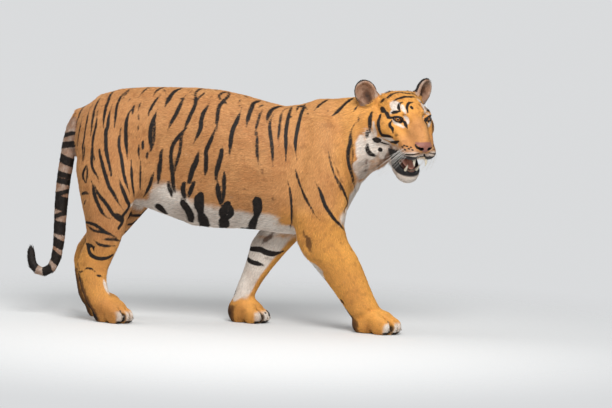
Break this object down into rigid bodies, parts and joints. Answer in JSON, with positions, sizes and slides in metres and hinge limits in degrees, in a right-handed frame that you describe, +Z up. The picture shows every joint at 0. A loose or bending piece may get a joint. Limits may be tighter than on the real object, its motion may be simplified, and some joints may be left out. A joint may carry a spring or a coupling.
{
  "type": "bengal tiger",
  "caption": "Life-size still model of a walking Bengal tiger, head turned to its right and mouth open, for display standing on a flat floor.",
  "frame": {"origin": "On the floor under the middle of the model's bounding box.", "axes": "+X the way the tiger walks, from tail to chest; +Y its left; +Z up."},
  "size_m": [1.6512, 0.442, 1.009],
  "materials": {
    "coat": "short orange fur with black stripes",
    "pale_coat": "soft off-white fur",
    "dark_coat": "short black fur",
    "nose_skin": "damp pebbled skin",
    "eye": "wet, glossy",
    "tongue": "damp, rough with papillae"
  },
  "bodies": {
    "root": {"head": "coat", "neck": "coat", "chest": "coat", "loin": "coat", "rump": "coat", "shoulder_right": "coat", "shoulder_left": "coat", "thigh_right": "coat", "thigh_left": "coat", "forearm_right": "coat", "forearm_left": "coat", "shank_right": "coat", "shank_left": "coat", "hock_right": "coat", "hock_left": "coat", "forepaw_right": "coat", "forepaw_left": "coat", "hindpaw_right": "coat", "hindpaw_left": "coat", "tail_root": "coat", "tail_middle": "coat", "tail_lower": "coat", "jaw": "pale_coat", "ear_right": "dark_coat", "ear_left": "dark_coat", "tail_tip": "dark_coat", "nose": "nose_skin", "eye_right": "eye", "eye_left": "eye", "tongue": "tongue"}
  },
  "joints": []
}
